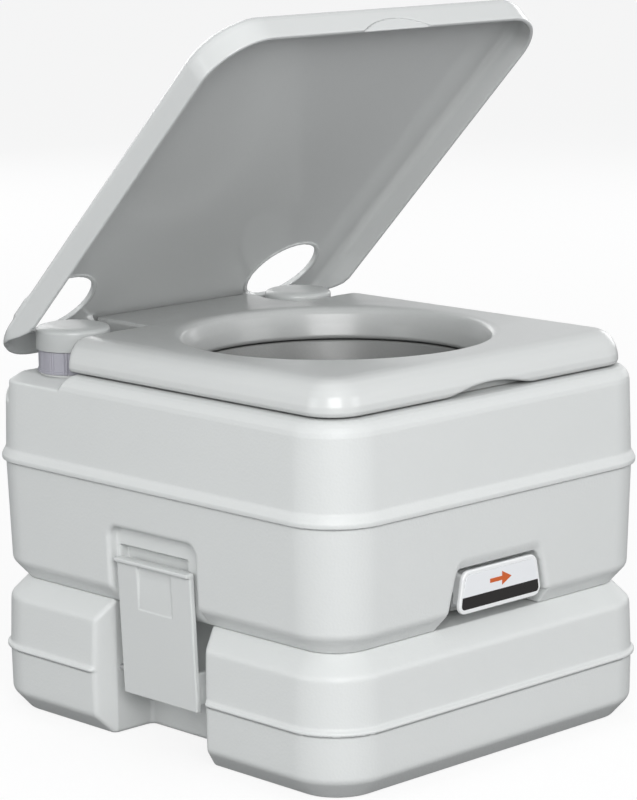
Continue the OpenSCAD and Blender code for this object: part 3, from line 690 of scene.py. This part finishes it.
# ------------------------------------------------------------------ caps and collars
PUMP, FILLER = (PUMP_X, CAPS_Y), (FILLER_X, CAPS_Y)


def cap_outline(skirt_r, inner_r, foot_z):
    return rounded([
        (0, 317.0), (inner_r, 317.0, 2.6), (inner_r, foot_z, 0.3), (skirt_r, foot_z, 0.5),
        (skirt_r, 317.0, 3.4), (23, 318.9, 12), (0, 319.6)], 6)


def ring_outline(outer_r, inner_r, foot_z, top_z=300):
    wall_r = outer_r - 0.8
    return rounded([
        (inner_r, foot_z), (outer_r, foot_z, 0.5), (outer_r, foot_z + 2.2, 0.4),
        (wall_r, foot_z + 2.6, 0.4), (wall_r, top_z - 0.2, 0.4), (inner_r, top_z - 0.2)],
        3)[::-1]


def grooved(r, angle):
    """Fourteen pairs of upright grooves, 0.9 deep, at radii of 27.2 and over."""
    if r < 27.2:
        return r
    t = (angle * 14 / (2 * math.pi)) % 1.0
    depth = max(0.0, 1 - abs(t - 0.40) / 0.05) + max(0.0, 1 - abs(t - 0.60) / 0.05)
    return r - 0.9 * min(1.0, depth)


turned("pump_button_cap", cap_outline(29.8, 28.95, 300.2), PUMP, 160,
       "pump_head", "cap_plastic", "pump_button")
STEM = rounded([(0, 318), (4, 318), (4, 262, 0.5), (9, 262, 0.5), (9, 260, 0.5), (0, 260)])
turned("pump_button_stem", STEM, PUMP, 48, "pump_head", "cap_plastic")
turned("filler_cap_top", cap_outline(28.2, 25.6, 300.05), FILLER, 160,
       "filler_cap", "cap_plastic", "filler_cap_cover")
turned("pump_collar_ribbed", ring_outline(28.9, 24.1, 282), PUMP, 448,
       "tank", "collar_plastic", "pump_collar", shape=grooved)
turned("filler_ring_ribbed", ring_outline(27.8, 25.1, 282.3), FILLER, 448,
       "filler_cap", "collar_plastic", "filler_cap_ring", shape=grooved)

# ------------------------------------------------------------------ bowl
# outer face up, then inner face down: radius, z, corner radius
BOWL = rounded([
    (44.5, 123.5), (44.5, 132, 4), (66, 156, 30), (92, 194, 60), (108, 232, 60),
    (115.5, 268, 40), (118.5, 283.5, 1.5), (134, 283.5, 1.2), (134, 286.7, 1.2),
    (117.5, 286.7, 2), (112.8, 268, 30), (105.3, 233, 60), (89.4, 195.3, 60),
    (63.5, 157.6, 30), (42, 133, 4), (42, 123.5)], 7)
turned("bowl_moulding", BOWL, (0, BOWL_Y), 192, "tank", "bowl_plastic", "bowl", angle=50)

# ------------------------------------------------------------------ pump bellows
BELLOWS_Z = 268


def folds(wide, narrow):
    return [(narrow if k % 2 else wide, BELLOWS_Z + 3 * k, 0.8) for k in range(16)]


bellows = turned(
    "pump_bellows_folds",
    rounded(folds(19, 14) + [(17, 316.8), (15, 316.8)] + folds(17, 12)[::-1], 3),
    PUMP, 72, "tank", "seal_rubber", "pump_bellows", angle=60)
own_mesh(bellows)

# ------------------------------------------------------------------ valve handle
# front view of the plate: x, z, corner radius
PLATE = rounded([(-47.2, 121.4, 7), (47.2, 121.4, 7), (40.8, 154.9, 8), (-40.8, 154.9, 8)], 8)
# boxes joined behind the plate: centre, half size, edge radius, blend
HANDLE_BOXES = [
    ((0, -191.6, 149.5), (36, 6.8, 1.5), 1, 1),             # top flange
    ((-34.5, -191.6, 138), (1.5, 6.8, 12), 1, 1),           # side flanges
    ((34.5, -191.6, 138), (1.5, 6.8, 12), 1, 1),
    ((0, -181.2, 126.25), (19, 17.2, 1.75), 0.6, 0.6),      # tongue running back
    ((0, -166, 122.5), (19, 2, 5.5), 0.6, 0.6),             # step down
    ((0, -158, 118.7), (19, 10, 1.7), 0.6, 0.6),            # foot
]


def handle_field(x, y, z):
    plate = polygon(x, z, PLATE)
    d = intersect(plate, np.abs(y + 199.9) - 1.9, 1.2)
    # shallow recess for the badge in the front face
    d = carve(d, intersect(plate + 3.6, np.abs(y + 202.3) - 1.0, 0.4), 0.5)
    for center, half, radius, blend in HANDLE_BOXES:
        d = join(d, box((x, y, z), center, half, radius), blend)
    return d


mould("valve_handle_moulding", handle_field, (-50, -204, 114), (50, -145, 158), (1.0, 0.7, 0.9),
      "valve", "handle_plastic", "valve_handle")


# ------------------------------------------------------------------ badge
def badge(name, outline, front_y, back_y, material, *nodes):
    """A thin plate from an (x, z) outline."""
    n = len(outline)
    points = [(x, y, z) for y in (front_y, back_y) for x, z in outline]
    faces = [tuple(range(n)), tuple(range(2 * n - 1, n - 1, -1))]
    faces += [(i, i + n, (i + 1) % n + n, (i + 1) % n) for i in range(n)]
    obj = crisp(add_mesh(name, points, faces))
    finish(obj, "valve", "badge_print", *nodes, material=material)


# outlines: x, z, corner radius
FIELD = rounded([(-41.9, 134.6), (41.9, 134.6), (37.4, 151.4, 4.5), (-37.4, 151.4, 4.5)], 6)
BAND = rounded([(-43.6, 125.0, 3.2), (43.6, 125.0, 3.2), (42.2, 134.5), (-42.2, 134.5)], 6)
ARROW = [(-12, 141.2), (1.5, 141.2), (1.5, 137.4), (12, 142.8), (1.5, 148.2), (1.5, 144.4),
         (-12, 144.4)]
badge("badge_field", FIELD, -201.9, -201.1, "badge_white")
badge("badge_band", BAND, -201.95, -201.1, "badge_print", "handle_badge")
badge("badge_arrow", ARROW, -202.15, -201.7, "badge_orange")


# ------------------------------------------------------------------ camera
CAMERA_AT = Vector((-1.6426317, -1.7109401, 0.7089257))
AZIMUTH, ELEVATION, ROLL = [math.radians(v) for v in (-43.8971, 10.8339, -0.7092)]


def add_camera():
    back = Vector((math.sin(AZIMUTH) * math.cos(ELEVATION),
                   -math.cos(AZIMUTH) * math.cos(ELEVATION), math.sin(ELEVATION)))
    level = Vector((0, 0, 1)).cross(back).normalized()
    upright = back.cross(level)
    right = level * math.cos(ROLL) + upright * math.sin(ROLL)
    up = upright * math.cos(ROLL) - level * math.sin(ROLL)
    data = bpy.data.cameras.new("camera")
    data.lens = 135.2474
    data.sensor_width = 36
    data.sensor_fit = "AUTO"
    data.clip_end = 200
    camera = link("camera", data)
    rows = [(*axes, place) for *axes, place in zip(right, up, back, CAMERA_AT)]
    camera.matrix_world = Matrix((*rows, (0, 0, 0, 1)))
    bpy.context.scene.camera = camera


# ------------------------------------------------------------------ floor and world
def add_floor():
    """A floor that looks near white to the camera but throws less light on the object."""
    mesh = bpy.data.meshes.new("floor")
    mesh.from_pydata([(-60, -60, 0), (60, -60, 0), (60, 60, 0), (-60, 60, 0)], [],
                     [(0, 1, 2, 3)])
    floor = link("floor", mesh)
    floor.location.z = -0.0004
    material = bpy.data.materials.new("pale_floor")
    material.use_nodes = True
    tree = material.node_tree
    shader = tree.nodes["Principled BSDF"]
    seen = add_node(tree, "LightPath").outputs["Is Camera Ray"]
    color = mix_color(tree, seen, (0.24, 0.24, 0.245, 1), (0.93, 0.93, 0.93, 1))
    set_inputs(tree, shader, {"Roughness": 0.9, "Specular IOR Level": 0.1, "Base Color": color})
    glow = add_node(tree, "Emission", {"Strength": 1.06})
    share = add_node(tree, "Math", {0: seen, 1: 0.78}, operation="MULTIPLY")
    mix = add_node(tree, "MixShader",
                   {0: share.outputs[0], 1: shader.outputs[0], 2: glow.outputs[0]})
    set_inputs(tree, tree.nodes["Material Output"], {"Surface": mix.outputs[0]})
    mesh.materials.append(material)


def add_world():
    """Light that dims towards the zenith; plain white to the camera, partly so in gloss."""
    world = bpy.data.worlds.new("studio")
    bpy.context.scene.world = world
    world.use_nodes = True
    tree = world.node_tree
    sky = tree.nodes["Background"]
    split = add_node(tree, "SeparateXYZ", {0: add_node(tree, "TexCoord").outputs["Generated"]})
    strength = map_range(tree, split.outputs["Z"], source=(0.0, 0.9), target=(0.80, 0.24))
    set_inputs(tree, sky, {"Color": (0.97, 0.985, 1.0, 1), "Strength": strength})
    white = add_node(tree, "Background", {"Color": (1, 1, 1, 1), "Strength": 1.0})
    rays = add_node(tree, "LightPath").outputs
    share = add_node(tree, "Math", {0: rays["Is Camera Ray"]}, operation="MAXIMUM")
    gloss = add_node(tree, "Math", {0: rays["Is Glossy Ray"], 1: 0.45}, operation="MULTIPLY")
    set_inputs(tree, share, {1: gloss.outputs[0]})
    mix = add_node(tree, "MixShader",
                   {0: share.outputs[0], 1: sky.outputs[0], 2: white.outputs[0]})
    set_inputs(tree, tree.nodes["World Output"], {"Surface": mix.outputs[0]})


# ------------------------------------------------------------------ lights
# name, location, height aimed at on the z axis, (width, height), watts, colour
LIGHTS = [
    ("key_front_left", (-2.6, -3.1, 1.9), 0.2, (2.6, 2.0), 116, (1, 1, 1)),
    ("side_front", (1.6, -3.6, 1.3), 0.25, (2.0, 1.6), 24, (1, 1, 1)),
    ("side_left", (-3.9, 0.9, 1.0), 0.2, (2.0, 1.4), 20, (0.98, 1, 0.99)),
    ("back_fill", (1.4, 3.6, 1.5), 0.25, (2.0, 1.6), 18, (1, 1, 1)),
    ("right_fill", (3.7, 0.9, 1.1), 0.25, (2.0, 1.4), 16, (1, 1, 1)),
    ("top", (0, 0.2, 3.4), 0.2, (2.4, 2.4), 6, (1, 1, 1)),
]


def add_light(name, location, aim_z, size, power, color):
    data = bpy.data.lights.new(name, "AREA")
    data.shape = "RECTANGLE"
    data.size, data.size_y = size
    data.energy = power
    data.color = color
    light = link(name, data)
    light.location = location
    aim = Vector((0, 0, aim_z)) - Vector(location)
    light.rotation_euler = aim.to_track_quat("-Z", "Y").to_euler()


add_camera()
add_floor()
add_world()
for row in LIGHTS:
    add_light(*row)
bpy.context.scene.view_settings.view_transform = "Standard"
bpy.context.scene.view_settings.look = "None"
